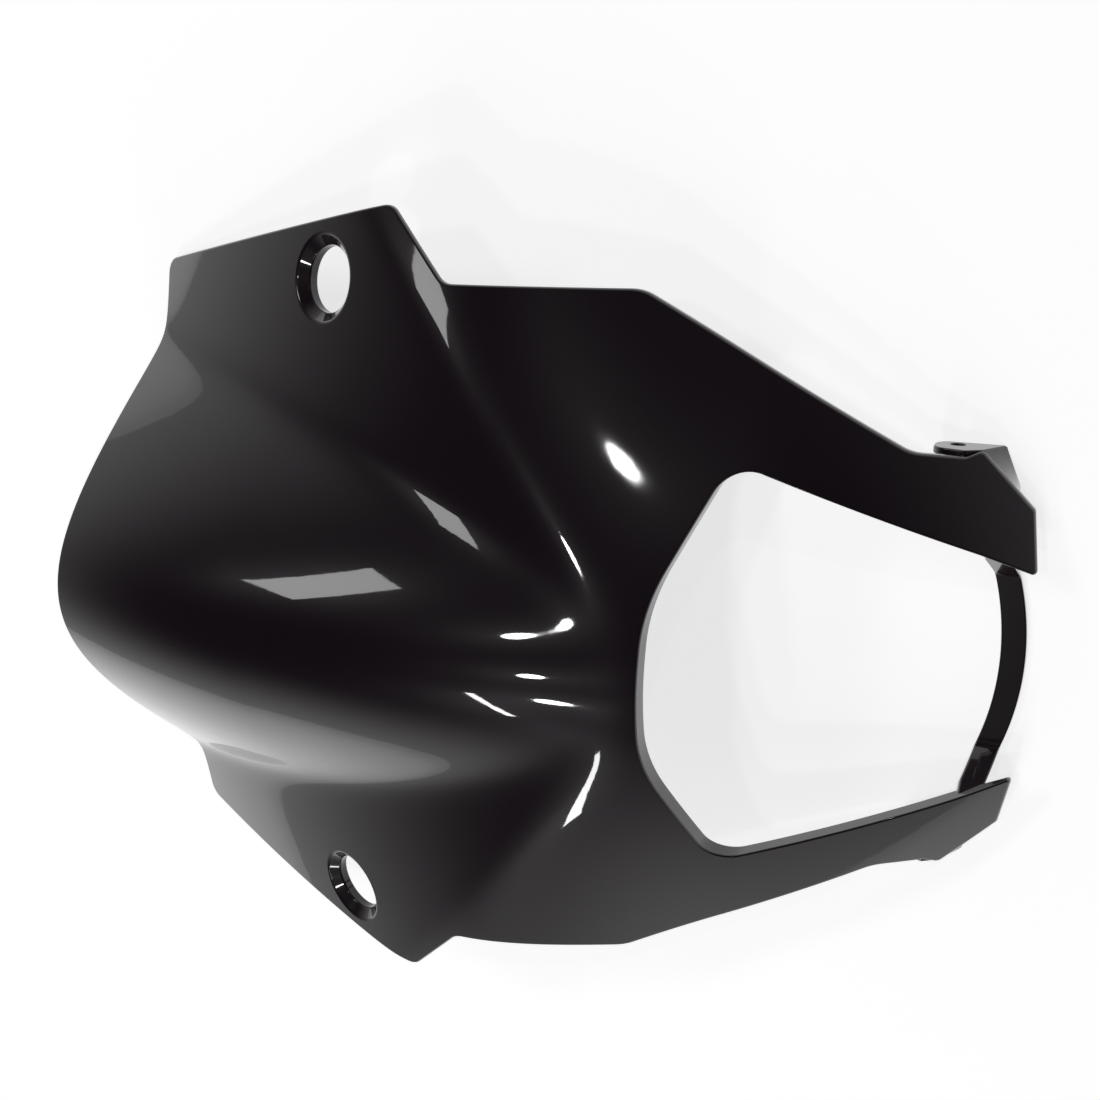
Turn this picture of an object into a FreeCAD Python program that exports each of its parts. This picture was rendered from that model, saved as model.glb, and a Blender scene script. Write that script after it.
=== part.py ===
import FreeCAD, Part
import math
import os
import Sketcher
from FreeCAD import Vector

# A motorcycle windshield moulded in one piece with its headlight cowl.
# It lies front face up, as photographed: X across, Y from the chin to the screen rim, Z up.
# Sizes are in millimetres. Y is counted from the arm tips here and centred at the end.
SIZES = {
    # Moulding
    "wall": 3.0,
    # Crest line of brow and screen
    "crest_top": 117.0,
    "crest_at": 307.0,
    "chin_height": 24.6,
    "rim_height": 104.0,
    "rim_at": 414.0,
    "crest_width": 60.0,
    # Fall of the sides, in mm per mm
    "screen_fall_brow": 1.20,
    "screen_fall_rim": 1.33,
    "cheek_fall_arm": 0.61,
    "cheek_fall_notch": 0.42,
    # Ear panel and the scoop that runs from it to the brow
    "ear_height": 58.0,
    "ear_rise_inward": 0.125,
    "ear_rise_forward": 0.332,
    "ear_bow": 0.00056,
    "ear_twist": 0.00079,
    "ridge_width": 4.0,
    "valley_width": 7.0,
    # Plan outline of the right half
    "ear_rear_x": 149.0,
    "ear_rear_at": 422.0,
    "ear_front_x": 175.0,
    "ear_front_at": 252.0,
    "notch_x": 145.0,
    "notch_at": 224.0,
    "cheek_x": 144.0,
    "cheek_at": 151.0,
    "foot_x": 86.5,
    "foot_at": 49.5,
    "waist_x": 84.6,
    "waist_at": 31.0,
    "arm_end_x": 86.8,
    "arm_end_at": 25.5,
    "shoulder_x": 65.0,
    "shoulder_at": 5.0,
    "chin_x": 34.0,
    "chin_at": 0.4,
    "rim_arc_radius": 1390.0,
    "ear_radius": 7.0,
    "notch_radius": 8.0,
    "cheek_radius": 16.0,
    "foot_radius": 18.0,
    "arm_radius": 2.5,
    # Headlight opening and its lip
    "lamp_top_x": 32.0,
    "lamp_top_at": 131.0,
    "lamp_corner_x": 83.0,
    "lamp_corner_at": 109.0,
    "lamp_foot_x": 50.0,
    "lamp_foot_at": 21.5,
    "lamp_tail_x": 37.0,
    "lamp_tail": 9.0,
    "lamp_top_radius": 70.0,
    "lamp_corner_radius": 12.0,
    "lip_wall": 2.5,
    "lip_depth": 9.0,
    # Ear mounting holes
    "ear_hole_x": 145.0,
    "ear_hole_at": 290.0,
    "ear_bore": 14.0,
    "dish_radius": 18.5,
    "dish_depth": 4.0,
    "boss_radius": 18.0,
    "boss_depth": 8.0,
    # Chin strap
    "strap_wall": 3.0,
    "strap_width": 9.5,
    "strap_front": 2.2,
    "strap_bow_radius": 125.0,
    "strap_flat": 38.0,
    "strap_reach": 58.0,
    "strap_rise": 34.0,
    # Skirt and lug under the end of each arm
    "lug_wall": 3.0,
    "skirt_x": 71.0,
    "skirt_at": 11.5,
    "skirt_height": 13.0,
    "lug_heel_at": 18.0,
    "lug_tip_at": 44.0,
    "lug_height": 15.0,
    "lug_root_at": 32.0,
    "lug_root_height": 21.0,
    "lug_tip_radius": 6.5,
    "lug_hole_at": 35.5,
    "lug_hole_height": 6.0,
    "lug_bore": 2.75,
}

doc = FreeCAD.newDocument("windshield")
sheet = doc.addObject("Spreadsheet::Sheet", "sizes")
for row, (name, value) in enumerate(SIZES.items(), start=1):
    sheet.set(f"A{row}", name)
    sheet.set(f"B{row}", str(value))
    sheet.setAlias(f"B{row}", name)
doc.recompute()


def size(name):
    return float(sheet.get(name))


# Styling surfaces
def crest(y):
    """Height of the centre line: falls to the brow and chin in front of its top, to the rim behind."""
    ahead = max(0.0, size("crest_at") - y) / size("crest_at")
    behind = max(0.0, y - size("crest_at")) / (size("rim_at") - size("crest_at"))
    to_chin = (size("crest_top") - size("chin_height")) * ahead**2.5
    return size("crest_top") - to_chin - (size("crest_top") - size("rim_height")) * behind**2


def tent(x):
    """Rounded roof section: level at the centre line, straight at the sides."""
    return math.hypot(x, size("crest_width")) - size("crest_width")


def ease(y, start, end):
    t = min(1.0, max(0.0, (y - start) / (end - start)))
    return t * t * (3 - 2 * t)


def cheeks(x, y):
    step = ease(y, size("lamp_corner_at"), size("notch_at"))
    fall = size("cheek_fall_arm") + step * (size("cheek_fall_notch") - size("cheek_fall_arm"))
    return crest(y) - fall * tent(x)


def screen(x, y):
    step = ease(y, size("notch_at"), size("rim_at"))
    fall = size("screen_fall_brow") + step * (size("screen_fall_rim") - size("screen_fall_brow"))
    return crest(y) - fall * tent(x)


def ear(x, y):
    inward = size("ear_hole_x") - abs(x)
    forward = size("ear_hole_at") - y
    plane = size("ear_height") + size("ear_rise_inward") * inward + size("ear_rise_forward") * forward
    return plane - size("ear_bow") * forward**2 - size("ear_twist") * inward * forward


def upper(a, b, width):
    return (a + b + math.hypot(a - b, width)) / 2


def lower(a, b, width):
    return (a + b - math.hypot(a - b, width)) / 2


def front_face(x, y):
    """Height of the outer face: the screen stands out of the ear panels, which the cheeks cut off."""
    panel = lower(cheeks(x, y), ear(x, y), size("ridge_width"))
    return upper(screen(x, y), panel, size("valley_width"))


def normal(x, y):
    step = 0.5
    slope_x = (front_face(x + step, y) - front_face(x - step, y)) / (2 * step)
    slope_y = (front_face(x, y + step) - front_face(x, y - step)) / (2 * step)
    return Vector(-slope_x, -slope_y, 1).normalize()


# The freeform faces have no feature of their own in either workbench
ACROSS = 40
ALONG = 48
MARGIN = 12.0


def grid():
    half = size("ear_front_x") + MARGIN
    start = -MARGIN
    length = size("ear_rear_at") + 2 * MARGIN
    columns = [half * (2 * i / ACROSS - 1) for i in range(ACROSS + 1)]
    rows = [start + length * j / ALONG for j in range(ALONG + 1)]
    return [[Vector(x, y, front_face(x, y)) for y in rows] for x in columns]


def sheet_face(points):
    surface = Part.BSplineSurface()
    surface.interpolate(points)
    return surface.toShape()


def slab(top, bottom):
    """Solid between two faces that share one grid."""
    upper_face = sheet_face(top)
    lower_face = sheet_face(bottom)
    sides = [
        Part.makeRuledSurface(a, b)
        for a, b in zip(upper_face.OuterWire.Edges, lower_face.OuterWire.Edges)
    ]
    shell = Part.makeShell([upper_face, lower_face] + sides)
    shell.sewShape()
    solid = Part.Solid(shell)
    if solid.Volume < 0:
        solid.reverse()
    return solid


def freeform(name, top, bottom):
    feature = doc.addObject("Part::Feature", name)
    feature.Shape = slab(top, bottom)
    return feature


outside = grid()
inside = [[p - normal(p.x, p.y) * size("wall") for p in line] for line in outside]
middle = [[p - Vector(0, 0, size("wall") / 2) for p in line] for line in outside]
lip_foot = [[p - Vector(0, 0, size("lip_depth")) for p in line] for line in outside]
deep = [[p - Vector(0, 0, 2 * size("crest_top")) for p in line] for line in outside]
skin = freeform("skin", outside, inside)
lip_slab = freeform("lip_slab", middle, lip_foot)
below = freeform("below", middle, deep)


# Sketches, bodies and booleans
def place(corner):
    """Value and cell expression of a coordinate, from the name of its size or a pair of both."""
    if not isinstance(corner, str):
        return corner
    if corner.startswith("-"):
        return -size(corner[1:]), f"-sizes.{corner[1:]}"
    return size(corner), f"sizes.{corner}"


def pin(sketch, kind, line, corner):
    value, expression = place(corner)
    if value == 0:
        axis = -2 if kind == "DistanceX" else -1
        sketch.addConstraint(Sketcher.Constraint("PointOnObject", line, 1, axis))
    elif value < 0:
        index = sketch.addConstraint(Sketcher.Constraint(kind, line, 1, -1, 1, -value))
        sketch.setExpression(f"Constraints[{index}]", f"-({expression})")
    else:
        index = sketch.addConstraint(Sketcher.Constraint(kind, -1, 1, line, 1, value))
        sketch.setExpression(f"Constraints[{index}]", expression)


def draw_loop(sketch, corners, symmetric=True):
    """Closed outline of straight lines; if symmetric, the corners run up its right half."""
    points = [Vector(place(x)[0], place(y)[0], 0) for x, y in corners]
    if symmetric:
        points += [Vector(-p.x, p.y, 0) for p in reversed(points)]
    count = len(points)
    for i in range(count):
        sketch.addGeometry(Part.LineSegment(points[i], points[(i + 1) % count]), False)
    for i in range(count):
        sketch.addConstraint(Sketcher.Constraint("Coincident", i, 2, (i + 1) % count, 1))
    for i, (x, y) in enumerate(corners):
        pin(sketch, "DistanceX", i, x)
        pin(sketch, "DistanceY", i, y)
        if symmetric:
            sketch.addConstraint(Sketcher.Constraint("Symmetric", i, 1, count - 1 - i, 1, -2))


def prism(name, corners, length, symmetric=True):
    body = doc.addObject("PartDesign::Body", name)
    sketch = body.newObject("Sketcher::SketchObject", name + "_sketch")
    draw_loop(sketch, corners, symmetric)
    feature = body.newObject("PartDesign::Pad", name + "_pad")
    feature.Profile = sketch
    feature.setExpression("Length", length)
    doc.recompute()
    return body


def round_corners(body, corners, radius):
    """Fillet the upright edges of a prism at the named corners, on both sides."""
    last = body.Tip
    places = [(place(x)[0], place(y)[0]) for x, y in corners]
    edges = []
    for number, edge in enumerate(last.Shape.Edges, start=1):
        a, b = edge.Vertexes[0].Point, edge.Vertexes[-1].Point
        upright = math.hypot(a.x - b.x, a.y - b.y) < 1e-6
        if upright and any(math.hypot(abs(a.x) - x, a.y - y) < 1e-3 for x, y in places):
            edges.append(f"Edge{number}")
    feature = body.newObject("PartDesign::Fillet", f"{body.Name}_{radius}")
    feature.Base = (last, edges)
    feature.setExpression("Radius", f"sizes.{radius}")
    doc.recompute()


def gather(kind, name, shapes):
    feature = doc.addObject(kind, name)
    feature.Shapes = shapes
    return feature


def less(name, base, tool):
    feature = doc.addObject("Part::Cut", name)
    feature.Base = base
    feature.Tool = tool
    return feature


def mirrored(source):
    feature = doc.addObject("Part::Mirroring", source.Name + "_left")
    feature.Source = source
    feature.Normal = Vector(1, 0, 0)
    return feature


def cylinder(name, radius, height):
    feature = doc.addObject("Part::Cylinder", name)
    feature.setExpression("Radius", radius)
    feature.setExpression("Height", height)
    return feature


# Plan of the moulding, with the screen rim swept by a large radius
OUTLINE = [
    ("chin_x", "chin_at"),
    ("shoulder_x", "shoulder_at"),
    ("arm_end_x", "arm_end_at"),
    ("waist_x", "waist_at"),
    ("foot_x", "foot_at"),
    ("cheek_x", "cheek_at"),
    ("notch_x", "notch_at"),
    ("ear_front_x", "ear_front_at"),
    ("ear_rear_x", "ear_rear_at"),
]
outline = prism("outline", OUTLINE, "2 * sizes.crest_top")
round_corners(outline, OUTLINE[7:9], "ear_radius")
round_corners(outline, OUTLINE[6:7], "notch_radius")
round_corners(outline, OUTLINE[5:6], "cheek_radius")
round_corners(outline, OUTLINE[4:5], "foot_radius")
round_corners(outline, OUTLINE[1:3], "arm_radius")
rim_sweep = cylinder("rim_sweep", "sizes.rim_arc_radius", "2 * sizes.crest_top")
rim_sweep.setExpression("Placement.Base.y", "sizes.rim_at + sizes.rim_arc_radius")
plan = less("plan", outline, rim_sweep)
panel = gather("Part::MultiCommon", "panel", [skin, plan])

# Six-sided headlight opening with a lip turned inwards round its edge
LAMP = [
    ("lamp_tail_x", "-lamp_tail"),
    ("lamp_foot_x", "lamp_foot_at"),
    ("lamp_corner_x", "lamp_corner_at"),
    ("lamp_top_x", "lamp_top_at"),
]
lamp = prism("lamp", LAMP, "2 * sizes.crest_top")
round_corners(lamp, LAMP[3:4], "lamp_top_radius")
round_corners(lamp, LAMP[2:3], "lamp_corner_radius")
lip_outer = doc.addObject("Part::Offset2D", "lip_outer")
lip_outer.Source = doc.getObject("lamp_sketch")
lip_outer.setExpression("Value", "sizes.lip_wall")
lip_block = doc.addObject("Part::Extrusion", "lip_block")
lip_block.Base = lip_outer
lip_block.Dir = Vector(0, 0, 1)
lip_block.Solid = True
lip_block.setExpression("LengthFwd", "2 * sizes.crest_top")
lip = gather("Part::MultiCommon", "lip", [lip_slab, lip_block, plan])
shell = less("shell", gather("Part::MultiFuse", "panel_and_lip", [panel, lip]), lamp)

# Chin strap: a flat band between the arms, its ends turned up to meet them
slope = math.atan2(size("strap_rise"), size("strap_reach") - size("strap_flat"))
level = (size("strap_wall") / math.sin(slope), f"sizes.strap_wall / sin({math.degrees(slope)})")
half_bend = (size("strap_wall") * math.tan(slope / 2), f"sizes.strap_wall * tan({math.degrees(slope) / 2})")
STRAP = [
    ("strap_flat", (0.0, "0")),
    ("strap_reach", "strap_rise"),
    ((size("strap_reach") - level[0], f"sizes.strap_reach - {level[1]}"), "strap_rise"),
    ((size("strap_flat") - half_bend[0], f"sizes.strap_flat - {half_bend[1]}"), "strap_wall"),
]
strap_section = prism("strap_section", STRAP, "sizes.foot_at")
strap_section.Placement = FreeCAD.Placement(
    Vector(0, size("foot_at"), 0), FreeCAD.Rotation(Vector(1, 0, 0), 90)
)
band = cylinder("band", "sizes.strap_bow_radius", "sizes.crest_top")
band_hole = cylinder("band_hole", "sizes.strap_bow_radius - sizes.strap_width", "sizes.crest_top")
for ring in (band, band_hole):
    ring.setExpression("Placement.Base.y", "sizes.strap_front + sizes.strap_bow_radius")
    ring.Placement.Base.z = -1
strap_band = less("strap_band", band, band_hole)
strap = gather("Part::MultiCommon", "strap", [strap_section, strap_band, below])

# Side lugs: upright tongues under the arm ends, each with a screw hole across
LUG = [
    ("lug_heel_at", (0.0, "0")),
    ("lug_tip_at", (0.0, "0")),
    ("lug_tip_at", "lug_height"),
    ("lug_root_at", "lug_root_height"),
    ("arm_end_at", "lug_root_height"),
    ("arm_end_at", "skirt_height"),
]
lug = prism("lug", LUG, "sizes.lug_wall", symmetric=False)
round_corners(lug, LUG[1:3], "lug_tip_radius")
lug.Placement.Rotation = FreeCAD.Rotation(Vector(1, 1, 1), 120)
lug.setExpression("Placement.Base.x", "sizes.arm_end_x - sizes.lug_wall")
lug_root = gather("Part::MultiCommon", "lug_root", [lug, below])
lug_hole = cylinder("lug_hole", "sizes.lug_bore", "3 * sizes.lug_wall")
lug_hole.Placement.Rotation = FreeCAD.Rotation(Vector(0, 1, 0), 90)
lug_hole.setExpression("Placement.Base.x", "sizes.arm_end_x - 2 * sizes.lug_wall")
lug_hole.setExpression("Placement.Base.y", "sizes.lug_hole_at")
lug_hole.setExpression("Placement.Base.z", "sizes.lug_hole_height")

# Skirt: a wall from the slanting edge of the arm end down to the heel of the lug
arm_slant = (size("arm_end_at") - size("shoulder_at")) / (size("arm_end_x") - size("shoulder_x"))
edge_at = size("shoulder_at") + arm_slant * (size("skirt_x") - size("shoulder_x"))
back = 1.3 * size("lug_wall")
skirt_rails = []
for name, height, front, heel in (
    ("skirt_foot", 0.0, size("skirt_at"), size("lug_heel_at")),
    ("skirt_head", size("skirt_height"), edge_at, size("arm_end_at")),
):
    rail = doc.addObject("Part::Polygon", name)
    near, far = size("skirt_x"), size("arm_end_x")
    corners = [(near, front), (far, heel), (far, heel + back), (near, front + back)]
    rail.Nodes = [Vector(x, at, height) for x, at in corners]
    rail.Close = True
    skirt_rails.append(rail)
skirt_loft = doc.addObject("Part::Loft", "skirt_loft")
skirt_loft.Sections = skirt_rails
skirt_loft.Solid = True
skirt_loft.Ruled = True
skirt = gather("Part::MultiCommon", "skirt", [skirt_loft, below])

# Ear mounting holes: a dished seat in the outer face, a bore and a boss under it
ear_axis = normal(size("ear_hole_x"), size("ear_hole_at"))
ear_seat = Vector(size("ear_hole_x"), size("ear_hole_at"), 0)
ear_seat.z = front_face(ear_seat.x, ear_seat.y)
ear_turn = FreeCAD.Rotation(Vector(0, 0, 1), ear_axis)
CLEAR = 2.0
boss = cylinder("boss", "sizes.boss_radius", "sizes.boss_depth")
boss.Placement = FreeCAD.Placement(ear_seat - ear_axis * size("boss_depth"), ear_turn)
boss_root = gather("Part::MultiCommon", "boss_root", [boss, below])
bore = cylinder("bore", "sizes.ear_bore", f"sizes.boss_depth + {2 * CLEAR}")
bore.Placement = FreeCAD.Placement(ear_seat - ear_axis * (size("boss_depth") + CLEAR), ear_turn)
dish = doc.addObject("Part::Cone", "dish")
dish.setExpression("Radius1", "sizes.ear_bore")
dish.setExpression(
    "Radius2",
    f"sizes.dish_radius + (sizes.dish_radius - sizes.ear_bore) * {CLEAR} / sizes.dish_depth",
)
dish.setExpression("Height", f"sizes.dish_depth + {CLEAR}")
dish.Placement = FreeCAD.Placement(ear_seat - ear_axis * size("dish_depth"), ear_turn)

# One moulding
solids = [shell, strap]
for piece in (lug_root, skirt, boss_root):
    solids += [piece, mirrored(piece)]
holes = []
for piece in (lug_hole, bore, dish):
    holes += [piece, mirrored(piece)]
cowl = less(
    "windshield_cowl",
    gather("Part::MultiFuse", "moulding", solids),
    gather("Part::MultiFuse", "holes", holes),
)
cowl.Label = "windshield_cowl"
doc.recompute()

# Centred over its footprint, then checked and written
box = cowl.Shape.optimalBoundingBox(True, False)
cowl.Placement.Base = Vector(0, -(box.YMin + box.YMax) / 2, 0)
for item in doc.Objects:
    if "Invalid" in item.State or "Error" in item.State:
        raise RuntimeError(f"{item.Name} did not recompute: {item.State}")
if cowl.Shape.isNull() or not cowl.Shape.isValid() or len(cowl.Shape.Solids) != 1:
    raise RuntimeError("the moulding is not one valid solid")
os.makedirs("parts", exist_ok=True)
cowl.Shape.exportStep(f"parts/{cowl.Label}.step")
box = cowl.Shape.optimalBoundingBox(True, False)
print("box", [round(v, 2) for v in (box.XMin, box.XMax, box.YMin, box.YMax, box.ZMin, box.ZMax)])
print("volume", round(cowl.Shape.Volume), "faces", len(cowl.Shape.Faces))
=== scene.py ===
import math

import bmesh
import bpy
import numpy as np
from mathutils import Matrix, Vector
from mathutils.geometry import delaunay_2d_cdt


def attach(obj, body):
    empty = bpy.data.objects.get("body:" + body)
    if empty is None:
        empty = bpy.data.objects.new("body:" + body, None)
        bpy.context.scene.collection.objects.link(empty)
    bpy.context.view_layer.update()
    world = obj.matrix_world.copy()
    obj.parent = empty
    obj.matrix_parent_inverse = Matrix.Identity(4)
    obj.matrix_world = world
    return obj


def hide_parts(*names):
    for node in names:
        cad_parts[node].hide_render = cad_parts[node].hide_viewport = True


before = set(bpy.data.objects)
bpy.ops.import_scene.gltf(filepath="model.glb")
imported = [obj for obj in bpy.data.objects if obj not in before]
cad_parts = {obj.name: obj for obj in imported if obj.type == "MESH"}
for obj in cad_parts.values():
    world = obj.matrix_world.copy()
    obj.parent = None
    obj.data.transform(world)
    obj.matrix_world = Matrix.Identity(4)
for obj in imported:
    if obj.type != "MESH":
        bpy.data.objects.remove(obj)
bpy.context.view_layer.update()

# Front face. The windshield and its headlight cowl are one injection moulding in black ABS, 3 mm thick.
# The screen is a rounded roof that stands out of two ear panels, and the cheeks cut those panels off
# along a sharp ridge. Sizes are in millimetres: x from the middle, "at" from the arm tips to the screen rim.
MM = 0.001
CENTRE_AT = 211.56
WALL = 3.0
CREST_TOP, CREST_AT, CREST_WIDTH = 117.0, 307.0, 60.0
CHIN_HEIGHT = 24.6
RIM_HEIGHT, RIM_AT = 104.0, 414.0
SCREEN_FALL_BROW, SCREEN_FALL_RIM = 1.20, 1.33
CHEEK_FALL_ARM, CHEEK_FALL_NOTCH = 0.61, 0.42
EAR_HOLE_X, EAR_HOLE_AT, EAR_HEIGHT = 145.0, 290.0, 58.0
EAR_RISE_INWARD, EAR_RISE_FORWARD = 0.125, 0.332
EAR_BOW, EAR_TWIST = 0.00056, 0.00079
RIDGE_WIDTH, VALLEY_WIDTH = 4.0, 7.0
SLOPE_STEP = 0.2
LAMP_CORNER_AT, NOTCH_AT = 109.0, 224.0


def crest(at):
    ahead = np.maximum(0, CREST_AT - at) / CREST_AT
    behind = np.maximum(0, at - CREST_AT) / (RIM_AT - CREST_AT)
    return CREST_TOP - (CREST_TOP - CHIN_HEIGHT) * ahead**2.5 - (CREST_TOP - RIM_HEIGHT) * behind**2


def ease(at, start, end):
    t = np.clip((at - start) / (end - start), 0, 1)
    return t * t * (3 - 2 * t)


def front_face(x, at):
    roof = np.hypot(x, CREST_WIDTH) - CREST_WIDTH
    cheek_fall = CHEEK_FALL_ARM + (CHEEK_FALL_NOTCH - CHEEK_FALL_ARM) * ease(at, LAMP_CORNER_AT, NOTCH_AT)
    screen_fall = SCREEN_FALL_BROW + (SCREEN_FALL_RIM - SCREEN_FALL_BROW) * ease(at, NOTCH_AT, RIM_AT)
    cheek = crest(at) - cheek_fall * roof
    screen = crest(at) - screen_fall * roof
    inward = EAR_HOLE_X - np.abs(x)
    forward = EAR_HOLE_AT - at
    ear = EAR_HEIGHT + EAR_RISE_INWARD * inward + EAR_RISE_FORWARD * forward
    ear = ear - EAR_BOW * forward**2 - EAR_TWIST * inward * forward
    panel = (cheek + ear - np.hypot(cheek - ear, RIDGE_WIDTH)) / 2
    return (screen + panel + np.hypot(screen - panel, VALLEY_WIDTH)) / 2


def unit(vectors):
    return vectors / np.linalg.norm(vectors, axis=-1, keepdims=True)


def face_normal(x, at):
    slope_x = (front_face(x + SLOPE_STEP, at) - front_face(x - SLOPE_STEP, at)) / (2 * SLOPE_STEP)
    slope_at = (front_face(x, at + SLOPE_STEP) - front_face(x, at - SLOPE_STEP)) / (2 * SLOPE_STEP)
    return unit(np.stack([-slope_x, -slope_at, np.ones_like(slope_x)], axis=-1))


def back_face(x, at):
    return front_face(x, at) - WALL / face_normal(x, at)[..., 2]


# Plan and edge: screen rim, ears, notch, cheeks, arms and the six-sided headlight opening, whose edge is
# the inner side of the arms. All of it is the same ABS moulding, trimmed and softened to a 1 mm radius, and
# round the headlight the edge turns inwards as a lip.
EDGE_RADIUS = 1.0
LIP_WALL, LIP_DEPTH, LIP_EDGE = 2.5, 9.0, 0.7
EDGE_STEP, ARC_TURN = 1.6, 0.2
EAR_REAR_X, EAR_REAR_AT, RIM_TANGENT_AT, RIM_RADIUS = 149.0, 422.0, 405.9, 1300.0
SHOULDER_X, SHOULDER_AT = 65.0, 5.0
ARM_END_X, ARM_END_AT = 86.8, 25.5
PLAN = [  # x, at, corner radius, lip
    (32.0, 131.0, 70.0, 1),
    (83.0, LAMP_CORNER_AT, 12.0, 1),
    (50.0, 21.5, 14.0, 1),
    (41.4, 1.4, 1.3, 0),
    (SHOULDER_X, SHOULDER_AT, 2.5, 0),
    (ARM_END_X, ARM_END_AT, 2.5, 0),
    (84.6, 31.0, 3.0, 0),
    (86.5, 49.5, 18.0, 0),
    (144.0, 151.0, 16.0, 0),
    (145.0, NOTCH_AT, 8.0, 0),
    (175.0, 252.0, 7.0, 0),
    (EAR_REAR_X, EAR_REAR_AT, 7.0, 0),
]

# The mesh is gathered as rings of points and the fills between them. Each point keeps the true normal of
# its surface, so the gloss runs clean over every triangle.
CLEAR_OF_EDGE, SAME_SPOT, BATCH = 0.6, 1e-5, 2000
points, normals, faces = [], [], []


def add_points(where, facing):
    start = len(points)
    points.extend(np.asarray(where, float))
    normals.extend(unit(np.asarray(facing, float)))
    return np.arange(start, len(points))


def stitch(ring_a, ring_b):
    for i in range(len(ring_a)):
        j = (i + 1) % len(ring_a)
        faces.append((ring_a[i], ring_a[j], ring_b[j], ring_b[i]))


def inside(spots, loop):
    """True for each spot inside a closed loop of points."""
    hit = np.zeros(len(spots), bool)
    for (ax, ay), (bx, by) in zip(loop, np.roll(loop, -1, axis=0)):
        crossing = (ay > spots[:, 1]) != (by > spots[:, 1])
        run = (bx - ax) * (spots[:, 1] - ay) / (by - ay if by != ay else 1.0) + ax
        hit ^= crossing & (spots[:, 0] < run)
    return hit


def fill(outer, holes, spacing, height, facing):
    """Triangles between rings already added, with a grid of points inside them."""
    rings = [outer] + holes
    loops = [np.array([points[i][:2] for i in ring]) for ring in rings]
    low, high = loops[0].min(axis=0), loops[0].max(axis=0)
    columns = np.arange(low[0], high[0], spacing)
    rows = np.arange(low[1], high[1], spacing)
    spots = np.stack(np.meshgrid(columns, rows), axis=-1).reshape(-1, 2)
    keep = inside(spots, loops[0])
    for loop in loops[1:]:
        keep &= ~inside(spots, loop)
    spots = spots[keep]
    edge = np.concatenate(loops)
    clear = np.full(len(spots), True)
    for start in range(0, len(spots), BATCH):
        part = spots[start:start + BATCH]
        gap = np.linalg.norm(part[:, None, :] - edge[None, :, :], axis=-1).min(axis=1)
        clear[start:start + BATCH] = gap > CLEAR_OF_EDGE * spacing
    spots = spots[clear]
    borders = []
    first = 0
    for loop in loops:
        borders += [(first + i, first + (i + 1) % len(loop)) for i in range(len(loop))]
        first += len(loop)
    flat = [Vector(p) for p in np.concatenate([edge, spots])]
    _, _, triangles, source, _, _ = delaunay_2d_cdt(flat, borders, [], 2, SAME_SPOT)
    known = np.concatenate(rings)
    first_new = len(points) - len(known)
    x, at = spots[:, 0], spots[:, 1]
    add_points(np.column_stack([spots, height(x, at)]), facing(x, at))
    index = [known[o[0]] if o[0] < len(known) else first_new + o[0] for o in source]
    owner = {i: number for number, ring in enumerate(holes) for i in ring}
    for triangle in triangles:
        corners = tuple(index[i] for i in triangle)
        rims = {owner.get(i) for i in corners}
        if len(rims) > 1 or None in rims:
            faces.append(corners)


def rounded(corners, step):
    """Closed loop of points along straight lines with an arc at each corner, and each point's lip share."""
    loop, lips = [], []
    count = len(corners)
    ends = []
    for i, (x, at, radius, lip) in enumerate(corners):
        here = np.array([x, at])
        back = unit(np.array(corners[i - 1][:2]) - here)
        ahead = unit(np.array(corners[(i + 1) % count][:2]) - here)
        turn = math.acos(np.clip(back @ ahead, -1, 1))
        reach = radius / math.tan(turn / 2)
        middle = here + unit(back + ahead) * radius / math.sin(turn / 2)
        start, end = here + back * reach, here + ahead * reach
        sweep = math.pi - turn
        pieces = max(2, int(math.ceil(max(radius * sweep / step, sweep / ARC_TURN))))
        a, b = start - middle, end - middle
        arc = [
            middle + (a * math.sin((1 - t) * sweep) + b * math.sin(t * sweep)) / math.sin(sweep)
            for t in np.linspace(0, 1, pieces + 1)
        ]
        ends.append((arc, lip))
    for i, (arc, lip) in enumerate(ends):
        loop += arc
        lips += [lip] * len(arc)
        next_arc, next_lip = ends[(i + 1) % count]
        run = np.linalg.norm(next_arc[0] - arc[-1])
        pieces = max(1, int(round(run / step)))
        for t in np.linspace(0, 1, pieces + 1)[1:-1]:
            loop.append(arc[-1] * (1 - t) + next_arc[0] * t)
            lips.append(lip * (1 - t) + next_lip * t)
    return np.array(loop), np.array(lips, float)


plan_corners = PLAN + [(0.0, RIM_TANGENT_AT, RIM_RADIUS, 0)]
plan_corners += [(-x, at, radius, lip) for x, at, radius, lip in reversed(PLAN)]
plan, lip_share = rounded(plan_corners, EDGE_STEP)
along = unit(np.roll(plan, -1, axis=0) - np.roll(plan, 1, axis=0))
into = np.stack([-along[:, 1], along[:, 0]], axis=-1)
if not inside(plan[:1] + 0.3 * into[:1], plan)[0]:
    into = -into


def edge_ring(inset, depth, angle):
    """Ring of the edge: inset from the plan, depth under the front face, and the way it faces."""
    spot = plan + into * np.reshape(inset, (-1, 1))
    up = face_normal(spot[:, 0], spot[:, 1])
    out = np.concatenate([-into, np.zeros((len(into), 1))], axis=1)
    height = front_face(spot[:, 0], spot[:, 1]) - depth
    facing = math.cos(angle) * up + math.sin(angle) * out
    return add_points(np.column_stack([spot, height]), facing)


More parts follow.
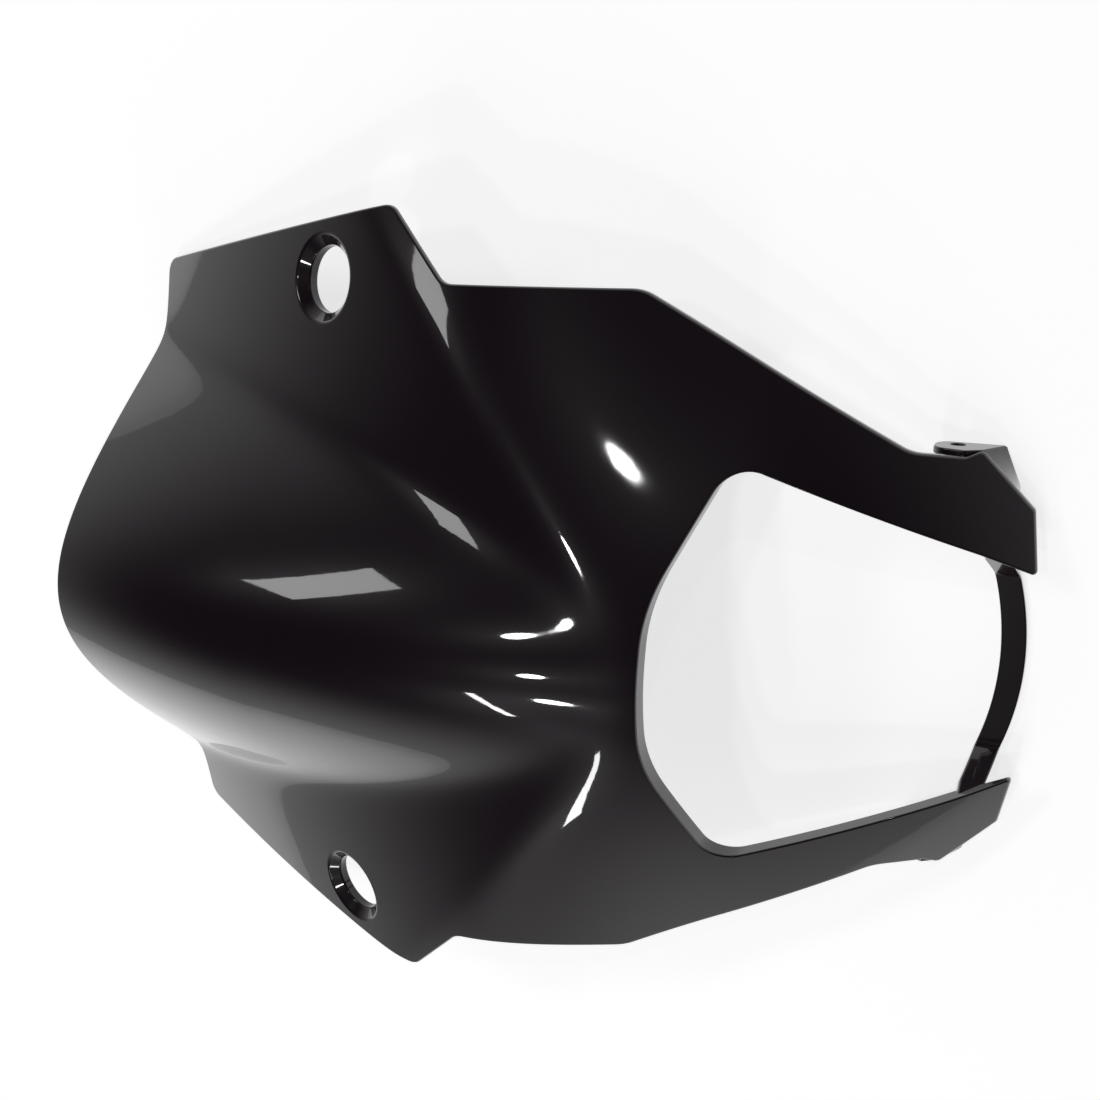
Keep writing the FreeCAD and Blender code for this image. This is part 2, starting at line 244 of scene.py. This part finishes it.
upright = face_normal(plan[:, 0], plan[:, 1])[:, 2]
wall_depth = WALL / upright
edge_depth = wall_depth + lip_share * (LIP_DEPTH - wall_depth)
ones = np.ones(len(plan))
edge_rings = []
for angle in np.radians([0, 22.5, 45, 67.5, 90]):
    inset = EDGE_RADIUS * (1 - math.sin(angle))
    edge_rings.append(edge_ring(inset * ones, EDGE_RADIUS * (1 - math.cos(angle)), angle))
for angle in np.radians([90, 135, 180]):
    inset = EDGE_RADIUS * (1 - math.sin(angle))
    edge_rings.append(edge_ring(inset * ones, edge_depth - EDGE_RADIUS * (1 + math.cos(angle)), angle))
lip_inset = EDGE_RADIUS + lip_share * (LIP_WALL - EDGE_RADIUS)
soft = LIP_EDGE * lip_share
edge_rings.append(edge_ring(lip_inset - soft, edge_depth, math.pi))
edge_rings.append(edge_ring(lip_inset, edge_depth - soft, 1.5 * math.pi))
edge_rings.append(edge_ring(lip_inset, wall_depth + soft, 1.5 * math.pi))
edge_rings.append(edge_ring(lip_inset + soft, wall_depth, math.pi))
for ring_a, ring_b in zip(edge_rings, edge_rings[1:]):
    stitch(ring_a, ring_b)

# Ear mounting holes. Each ear has a round hole for a grommet, in a dished seat that is moulded into
# the front face. A short boss on the back carries the bore. All of it is moulded square to the ear panel.
EAR_BORE, BOSS_RADIUS, BOSS_DEPTH = 14.0, 18.0, 8.0
DISH_RADIUS, DISH_DEPTH = 18.5, 4.0
DISH_ROUND, MOUTH_ROUND, BOSS_ROUND, BOSS_FILLET = 2.5, 1.4, 0.5, 0.8
EAR_STEPS = 96


def turn_through(start, angle_from, angle_to, radius, steps):
    """Profile points (radius, height, angle) of a rounded edge that starts at a point."""
    centre = np.array(start) - radius * np.array([-math.sin(angle_from), math.cos(angle_from)])
    for angle in np.linspace(angle_from, angle_to, steps):
        r, h = centre + radius * np.array([-math.sin(angle), math.cos(angle)])
        yield r, h, angle


slant = math.atan2(DISH_DEPTH, DISH_RADIUS - EAR_BORE)
dish_lead = DISH_ROUND * math.tan(slant / 2)
mouth_lead = MOUTH_ROUND * math.tan((math.pi / 2 - slant) / 2)
ear_profile = list(turn_through((DISH_RADIUS + dish_lead, 0), 0, slant, DISH_ROUND, 6))
mouth = (EAR_BORE + mouth_lead * math.cos(slant), -DISH_DEPTH + mouth_lead * math.sin(slant))
ear_profile += list(turn_through(mouth, slant, math.pi / 2, MOUTH_ROUND, 6))
bore_foot = (EAR_BORE, BOSS_ROUND - BOSS_DEPTH)
ear_profile += list(turn_through(bore_foot, math.pi / 2, math.pi, BOSS_ROUND, 4))
boss_foot = (BOSS_RADIUS - BOSS_ROUND, -BOSS_DEPTH)
ear_profile += list(turn_through(boss_foot, math.pi, 1.5 * math.pi, BOSS_ROUND, 4))

front_holes, back_holes = [], []
for side in (1, -1):
    seat_x, seat_at = np.array([side * EAR_HOLE_X]), np.array([EAR_HOLE_AT])
    axis = face_normal(seat_x, seat_at)[0]
    seat = np.array([seat_x[0], seat_at[0], front_face(seat_x, seat_at)[0]])
    across = unit(np.cross([0.0, 1.0, 0.0], axis))
    up_panel = np.cross(axis, across)
    turns = np.linspace(0, 2 * math.pi, EAR_STEPS, endpoint=False)
    radial = np.outer(np.cos(turns), across) + np.outer(np.sin(turns), up_panel)
    rings = []
    for number, (radius, height, angle) in enumerate(ear_profile):
        ring = seat + radial * radius + axis * height
        facing = math.cos(angle) * axis - math.sin(angle) * radial
        if number == 0:
            ring[:, 2] = front_face(ring[:, 0], ring[:, 1])
            facing = face_normal(ring[:, 0], ring[:, 1])
        rings.append(add_points(ring, facing))
    boss_root = ((BOSS_RADIUS, BOSS_FILLET, 1.0), (BOSS_RADIUS + BOSS_FILLET, 0.0, 0.0))
    for radius, drop, flare in boss_root:
        ring = seat + radial * radius
        ring[:, 2] = back_face(ring[:, 0], ring[:, 1]) - drop
        facing = -(1 - flare) * face_normal(ring[:, 0], ring[:, 1]) + flare * radial
        rings.append(add_points(ring, facing))
    for ring_a, ring_b in zip(rings, rings[1:]):
        stitch(ring_a, ring_b)
    front_holes.append(rings[0])
    back_holes.append(rings[-1])

# The front and the back of the wall, filled between the edge and the ear holes.
FRONT_SPACING, BACK_SPACING = 2.2, 3.4
fill(edge_rings[0], front_holes, FRONT_SPACING, front_face, face_normal)
fill(edge_rings[-1], back_holes, BACK_SPACING, back_face, lambda x, at: -face_normal(x, at))

# Chin strap. A thin ABS band under the headlight ties the arms together, moulded with them. It lies low
# between them, bows towards the chin, and turns up at both ends to run into the arms from behind.
STRAP_WALL, STRAP_WIDTH, STRAP_FRONT, STRAP_BOW = 3.0, 9.5, 2.2, 125.0
STRAP_FLAT, STRAP_REACH, STRAP_RISE = 38.0, 58.0, 34.0
STRAP_BEND, STRAP_SINK, STRAP_EDGE = 6.0, 1.5, 0.7

slope = math.atan2(STRAP_RISE, STRAP_REACH - STRAP_FLAT)
bend_lead = STRAP_BEND * math.tan(slope / 2)
half_path = [np.array([t * (STRAP_FLAT - bend_lead), 0.0, 0.0]) for t in np.linspace(0, 1, 18)]
for angle in np.linspace(0, slope, 8)[1:]:
    bend_x = STRAP_FLAT - bend_lead + STRAP_BEND * math.sin(angle)
    half_path.append(np.array([bend_x, STRAP_BEND * (1 - math.cos(angle)), angle]))
while True:
    x, z, angle = half_path[-1]
    bow = STRAP_BOW - math.sqrt(STRAP_BOW**2 - x * x)
    at = STRAP_FRONT + bow + STRAP_WIDTH / 2
    if z + STRAP_WALL > front_face(x, at) - 2 * STRAP_WALL:
        break
    half_path.append(np.array([x + math.cos(slope), z + math.sin(slope), slope]))
path = [np.array([-x, z, -angle]) for x, z, angle in reversed(half_path[1:])] + half_path
section = []
for corner, (side, top) in enumerate(((1, 0), (1, 1), (-1, 1), (-1, 0))):
    for step in range(4):
        angle = math.radians(-90 + 90 * corner + 30 * step)
        w = side * (STRAP_WIDTH / 2 - STRAP_EDGE) + STRAP_EDGE * math.cos(angle)
        t = top * (STRAP_WALL - 2 * STRAP_EDGE) + STRAP_EDGE + STRAP_EDGE * math.sin(angle)
        section.append((w, t, math.cos(angle), math.sin(angle)))
strap_rings = []
for x, z, angle in path:
    lift = np.array([-math.sin(angle), 0.0, math.cos(angle)])
    width_way = np.array([0.0, 1.0, 0.0])
    ring = []
    for w, t, _, _ in section:
        spot = np.array([x, 0.0, z]) + lift * t
        bow = STRAP_BOW - math.sqrt(STRAP_BOW**2 - spot[0] ** 2)
        ring.append(spot + width_way * (STRAP_FRONT + STRAP_WIDTH / 2 + bow + w))
    strap_rings.append(add_points(ring, [width_way * nw + lift * nt for _, _, nw, nt in section]))
for ring, side in ((strap_rings[0], -1), (strap_rings[-1], 1)):
    for i in ring:
        for _ in range(8):
            x, at, z = points[i]
            short = front_face(x, at) - STRAP_SINK - z
            points[i] = points[i] + short * np.array([side * math.cos(slope), 0.0, math.sin(slope)])
    faces.append(tuple(ring))
for ring_a, ring_b in zip(strap_rings, strap_rings[1:]):
    stitch(ring_a, ring_b)

# Side lugs. The slanting end of each arm turns down in a short skirt, and from its heel an upright tongue
# runs back, with a hole for the screw that holds the cowl to the headlight bracket. Moulded with the arm.
LUG_WALL, LUG_EDGE, SKIRT_WALL = 3.0, 0.6, 3.9
LUG_HEEL_AT, LUG_TIP_AT, LUG_HEIGHT, LUG_TIP_RADIUS = 18.0, 44.0, 15.0, 6.5
LUG_ROOT_AT, LUG_ROOT_HEIGHT, LUG_NECK_AT, LUG_NECK_HEIGHT = 32.0, 18.2, 25.8, 14.0
LUG_HOLE_AT, LUG_HOLE_HEIGHT, LUG_BORE = 35.5, 6.0, 2.75
LUG_ROUND, SKIRT_ROUND = 0.8, 0.6
SKIRT_X, SKIRT_AT, SKIRT_HEIGHT, SKIRT_SET_BACK = 71.0, 11.5, 13.0, 0.2
lug_corners = [  # at, height, corner radius, no lip
    (LUG_HEEL_AT, 0.0, LUG_ROUND, 0),
    (LUG_TIP_AT, 0.0, LUG_TIP_RADIUS, 0),
    (LUG_TIP_AT, LUG_HEIGHT, LUG_TIP_RADIUS, 0),
    (LUG_ROOT_AT, LUG_ROOT_HEIGHT, 1.5, 0),
    (LUG_NECK_AT, LUG_NECK_HEIGHT, LUG_ROUND, 0),
]
lug_outline, _ = rounded(lug_corners, 0.8)
hole_turns = np.linspace(0, 2 * math.pi, 32, endpoint=False)
hole_centre = np.array([LUG_HOLE_AT, LUG_HOLE_HEIGHT])
lug_hole = hole_centre + LUG_BORE * np.column_stack([np.cos(hole_turns), -np.sin(hole_turns)])
for side in (1, -1):
    caps = {1: [], -1: []}
    for loop in (lug_outline, lug_hole):
        way = unit(np.roll(loop, -1, axis=0) - np.roll(loop, 1, axis=0))
        out = np.stack([way[:, 1], -way[:, 0]], axis=-1)
        rings = []
        for cap in (1, -1):
            for angle in np.radians([0, 45, 90] if cap == 1 else [90, 45, 0]):
                spot = loop - out * LUG_EDGE * (1 - math.sin(angle))
                x = ARM_END_X - LUG_WALL / 2 + cap * (LUG_WALL / 2 - LUG_EDGE * (1 - math.cos(angle)))
                facing = np.column_stack(
                    [np.full(len(loop), side * cap * math.cos(angle)), math.sin(angle) * out]
                )
                rings.append(add_points(np.column_stack([np.full(len(loop), side * x), spot]), facing))
        for ring_a, ring_b in zip(rings, rings[1:]):
            stitch(ring_a, ring_b)
        caps[1].append(rings[0])
        caps[-1].append(rings[-1])
    for cap, (outer, hole) in caps.items():
        flat = [Vector(points[i][1:]) for i in np.concatenate([outer, hole])]
        borders = [(i, (i + 1) % len(outer)) for i in range(len(outer))]
        borders += [(len(outer) + i, len(outer) + (i + 1) % len(hole)) for i in range(len(hole))]
        _, _, triangles, source, _, _ = delaunay_2d_cdt(flat, borders, [], 2, SAME_SPOT)
        known = np.concatenate([outer, hole])
        rim = set(hole)
        for triangle in triangles:
            corners = tuple(known[source[i][0]] for i in triangle)
            if not rim.issuperset(corners):
                faces.append(corners)

skirt_end_x = ARM_END_X - SKIRT_SET_BACK
skirt_corners = [
    (SKIRT_X, SKIRT_AT, SKIRT_ROUND, 0),
    (skirt_end_x, LUG_HEEL_AT, LUG_ROUND, 0),
    (skirt_end_x, LUG_HEEL_AT + SKIRT_WALL, SKIRT_ROUND, 0),
    (SKIRT_X, SKIRT_AT + SKIRT_WALL, SKIRT_ROUND, 0),
]
skirt_foot, _ = rounded(skirt_corners, 1.5)
way = unit(np.roll(skirt_foot, -1, axis=0) - np.roll(skirt_foot, 1, axis=0))
out = np.stack([way[:, 1], -way[:, 0]], axis=-1)
arm_slant = (ARM_END_AT - SHOULDER_AT) / (ARM_END_X - SHOULDER_X)
edge_at = SHOULDER_AT + arm_slant * (SKIRT_X - SHOULDER_X)
heel_slant = (LUG_HEEL_AT - SKIRT_AT) / (ARM_END_X - SKIRT_X)
skirt_levels = [  # inset, height, the way it faces
    (LUG_EDGE, 0.0, math.pi),
    (0.3 * LUG_EDGE, 0.3 * LUG_EDGE, 0.75 * math.pi),
    (0.0, LUG_EDGE, math.pi / 2),
    (0.0, SKIRT_HEIGHT, math.pi / 2),
]
for side in (1, -1):
    rings = []
    for inset, height, angle in skirt_levels:
        x, at = (skirt_foot - out * inset).T
        lean = (edge_at - SKIRT_AT + (arm_slant - heel_slant) * (x - SKIRT_X)) / SKIRT_HEIGHT
        top = np.minimum(height, front_face(x, at + lean * height) - STRAP_SINK)
        facing = np.column_stack([
            side * math.sin(angle) * out[:, 0], math.sin(angle) * out[:, 1],
            math.cos(angle) - math.sin(angle) * out[:, 1] * lean,
        ])
        rings.append(add_points(np.column_stack([side * x, at + lean * top, top]), facing))
    for ring_a, ring_b in zip(rings, rings[1:]):
        stitch(ring_a, ring_b)
    faces.append(tuple(rings[0]))
    faces.append(tuple(rings[-1]))

# The moulding as one piece: face, edge, holes, strap and lugs come out of the mould together, in ABS. Points
# that fall together, where the lip runs out, are merged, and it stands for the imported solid.
MERGE_MM, SLIVER_MM = 0.002, 0.001
mesh = bpy.data.meshes.new("windshield_moulding")
where = np.array(points)
where[:, 1] -= CENTRE_AT
mesh.from_pydata(where * MM, [], faces)
kept = mesh.attributes.new("true_normal", "FLOAT_VECTOR", "POINT")
kept.data.foreach_set("vector", np.array(normals).ravel())
work = bmesh.new()
work.from_mesh(mesh)
bmesh.ops.remove_doubles(work, verts=work.verts, dist=MERGE_MM * MM)
bmesh.ops.dissolve_degenerate(work, edges=work.edges, dist=SLIVER_MM * MM)
bmesh.ops.recalc_face_normals(work, faces=work.faces)
work.to_mesh(mesh)
work.free()
mesh.polygons.foreach_set("use_smooth", [True] * len(mesh.polygons))
true_normals = np.empty(3 * len(mesh.vertices))
mesh.attributes["true_normal"].data.foreach_get("vector", true_normals)
mesh.normals_split_custom_set_from_vertices(true_normals.reshape(-1, 3))
mesh.attributes.remove(mesh.attributes["true_normal"])
moulding = bpy.data.objects.new("windshield_moulding", mesh)
bpy.context.collection.objects.link(moulding)
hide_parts("windshield_cowl")
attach(moulding, "root")

# Moulded high-gloss ABS, black in the mass with a slight violet cast. The polished mould leaves a mirror
# with a faint orange peel. Wiping dulls it in places, a few dust specks lie on it, and a thin dust film puts
# a soft haze round each highlight. The back, from a plain mould half, is satin.
ORANGE_PEEL_MM, WIPE_MM, DUST_MM = 6.0, 45.0, 0.9


def linear(hex_colour):
    channels = [int(hex_colour[i:i + 2], 16) / 255 for i in (1, 3, 5)]
    return [c / 12.92 if c <= 0.04045 else ((c + 0.055) / 1.055) ** 2.4 for c in channels] + [1.0]


def node(tree, kind, links=None, values=None, **settings):
    """Add a node with its settings, socket values and links, each link given as (node, output)."""
    made = tree.nodes.new(kind)
    for name, value in settings.items():
        setattr(made, name, value)
    for socket, value in (values or {}).items():
        made.inputs[socket].default_value = value
    for socket, (source, output) in (links or {}).items():
        tree.links.new(source.outputs[output], made.inputs[socket])
    return made


gloss_black = bpy.data.materials.new("moulded_gloss_black_abs")
gloss_black.use_nodes = True
tree = gloss_black.node_tree
tree.nodes.clear()
spot = node(tree, "ShaderNodeTexCoord")
on_part = {"Vector": (spot, "Object")}
peel = node(tree, "ShaderNodeTexNoise", on_part, {"Scale": 1 / (ORANGE_PEEL_MM * MM), "Detail": 1.0})
wipe = node(tree, "ShaderNodeTexNoise", on_part, {"Scale": 1 / (WIPE_MM * MM), "Detail": 5.0})
dust = node(tree, "ShaderNodeTexNoise", on_part, {"Scale": 1 / (DUST_MM * MM), "Detail": 2.0})
wiped = node(
    tree, "ShaderNodeMapRange", {"Value": (wipe, "Fac")},
    {"From Min": 0.35, "From Max": 0.75, "To Min": 0.02, "To Max": 0.06},
)
specks = node(
    tree, "ShaderNodeMapRange", {"Value": (dust, "Fac")},
    {"From Min": 0.70, "From Max": 0.80, "To Min": 0.0, "To Max": 0.10},
)
dull = node(tree, "ShaderNodeMath", {0: (wiped, "Result"), 1: (specks, "Result")}, operation="ADD")
facing = node(tree, "ShaderNodeSeparateXYZ", {"Vector": (spot, "Normal")})
behind = node(
    tree, "ShaderNodeMapRange", {"Value": (facing, "Z")},
    {"From Min": 0.0, "From Max": -0.1, "To Min": 0.0, "To Max": 0.26},
)
rough = node(tree, "ShaderNodeMath", {0: (dull, "Value"), 1: (behind, "Result")}, operation="ADD")
PLASTIC_SOCKET, DUST_SOCKET, MIXED_OUTPUT = 6, 7, 2
tint = node(
    tree, "ShaderNodeMix", {"Factor": (specks, "Result")},
    {PLASTIC_SOCKET: linear("#1c0e19"), DUST_SOCKET: linear("#5a5658")}, data_type="RGBA",
)
bump = node(tree, "ShaderNodeBump", {"Height": (peel, "Fac")}, {"Strength": 0.02, "Distance": 0.0004})
abs_plastic = node(
    tree, "ShaderNodeBsdfPrincipled",
    {"Base Color": (tint, MIXED_OUTPUT), "Roughness": (rough, "Value"), "Normal": (bump, "Normal")},
    {"IOR": 1.52, "Coat Weight": 0.38, "Coat Roughness": 0.32, "Coat IOR": 1.5},
)
node(tree, "ShaderNodeOutputMaterial", {"Surface": (abs_plastic, "BSDF")})
mesh.materials.append(gloss_black)

# Studio floor: a sheet of matt white paper, laid flat and not part of the object. It shows white to the eye
# and in reflections, and still takes the object's shadow from the lamps.
FLOOR_HALF, FLOOR_WHITE = 6.0, 0.72
floor_mesh = bpy.data.meshes.new("studio_floor")
floor_corners = [(sx * FLOOR_HALF, sy * FLOOR_HALF, 0) for sx, sy in ((-1, -1), (1, -1), (1, 1), (-1, 1))]
floor_mesh.from_pydata(floor_corners, [], [(0, 1, 2, 3)])
floor = bpy.data.objects.new("studio_floor", floor_mesh)
bpy.context.collection.objects.link(floor)
paper = bpy.data.materials.new("matt_white_paper")
paper.use_nodes = True
tree = paper.node_tree
tree.nodes.clear()
rays = node(tree, "ShaderNodeLightPath")
seen = node(
    tree, "ShaderNodeMath", {0: (rays, "Is Camera Ray"), 1: (rays, "Is Glossy Ray")}, operation="ADD",
)
shown = node(
    tree, "ShaderNodeMath", {0: (seen, "Value"), 1: (rays, "Is Transmission Ray")},
    operation="ADD", use_clamp=True,
)
white = node(tree, "ShaderNodeMapRange", {"Value": (shown, "Value")}, {"To Max": FLOOR_WHITE})
sheet = node(
    tree, "ShaderNodeBsdfPrincipled", {"Emission Strength": (white, "Result")},
    {"Base Color": linear("#f4f4f4"), "Roughness": 0.9, "Emission Color": linear("#ffffff")},
)
node(tree, "ShaderNodeOutputMaterial", {"Surface": (sheet, "BSDF")})
floor_mesh.materials.append(paper)

# Surround and lamps: a soft grey surround that darkens overhead, four round lamps, two tubes and a softbox.
# They stand where the gloss mirrors them as the highlights of the brow, the screen and the cheeks.
HORIZON, ZENITH, DARK_FROM = 0.48, 0.03, 0.62
world = bpy.data.worlds.new("soft_surround")
world.use_nodes = True
tree = world.node_tree
tree.nodes.clear()
way = node(tree, "ShaderNodeTexCoord")
height = node(tree, "ShaderNodeSeparateXYZ", {"Vector": (way, "Generated")})
fade = node(
    tree, "ShaderNodeMapRange", {"Value": (height, "Z")},
    {"From Min": 0.0, "From Max": DARK_FROM, "To Min": HORIZON, "To Max": ZENITH},
    interpolation_type="SMOOTHSTEP",
)
grey = node(tree, "ShaderNodeBackground", {"Strength": (fade, "Result")}, {"Color": linear("#ffffff")})
node(tree, "ShaderNodeOutputWorld", {"Surface": (grey, "Background")})
bpy.context.scene.world = world

UPRIGHT = (0.0, 0.0, 1.0)
LAMPS = [  # place in metres, the way its height runs, width, height, power in watts
    ((0.91, -0.46, 1.20), UPRIGHT, 0.065, 0.065, 0.55),
    ((0.38, 0.10, 1.56), UPRIGHT, 0.09, 0.09, 1.0),
    ((-0.36, 0.02, 1.56), UPRIGHT, 0.09, 0.09, 1.0),
    ((-0.86, 0.01, 1.33), UPRIGHT, 0.09, 0.09, 1.0),
    ((-1.30, 0.02, 0.79), (0.55, 0.20, 0.81), 0.05, 0.36, 1.0),
    ((-0.98, 0.22, 1.14), (0.74, 0.19, 0.65), 0.03, 0.42, 0.9),
    ((0.77, 0.84, 1.26), UPRIGHT, 0.50, 0.25, 2.2),
]
for number, (place, up, width, tall, power) in enumerate(LAMPS):
    lamp = bpy.data.lights.new(f"soft_lamp_{number}", "AREA")
    lamp.shape = "ELLIPSE" if width == tall else "RECTANGLE"
    lamp.size = width
    lamp.size_y = tall
    lamp.energy = power
    away = Vector(place).normalized()
    across = Vector(up).cross(away).normalized()
    holder = bpy.data.objects.new(lamp.name, lamp)
    facing = Matrix((across, away.cross(across), away)).transposed().to_4x4()
    holder.matrix_world = Matrix.Translation(place) @ facing
    bpy.context.collection.objects.link(holder)

# Camera, where the photograph was taken from: above the chin on the right, looking down, rolled on its
# side. FOCAL is its focal length in pixels of a frame 1100 wide.
FOCAL, FRAME, SENSOR = 1150, 1100, 36.0
CAMERA_PLACE = (0.16913, -0.21607, 0.46794)
CAMERA_RIGHT = Vector((0.00481, -0.90789, -0.41917))
CAMERA_UP = Vector((0.96106, 0.12002, -0.24892))
CAMERA_BACK = Vector((0.27630, -0.40165, 0.87311))
lens = bpy.data.cameras.new("camera")
lens.sensor_width = SENSOR
lens.lens = SENSOR * FOCAL / FRAME
lens.clip_start = 0.01
camera = bpy.data.objects.new("camera", lens)
turn = Matrix((CAMERA_RIGHT, CAMERA_UP, CAMERA_BACK)).transposed().to_4x4()
camera.matrix_world = Matrix.Translation(CAMERA_PLACE) @ turn
bpy.context.collection.objects.link(camera)
bpy.context.scene.camera = camera
bpy.context.scene.view_settings.view_transform = "Standard"
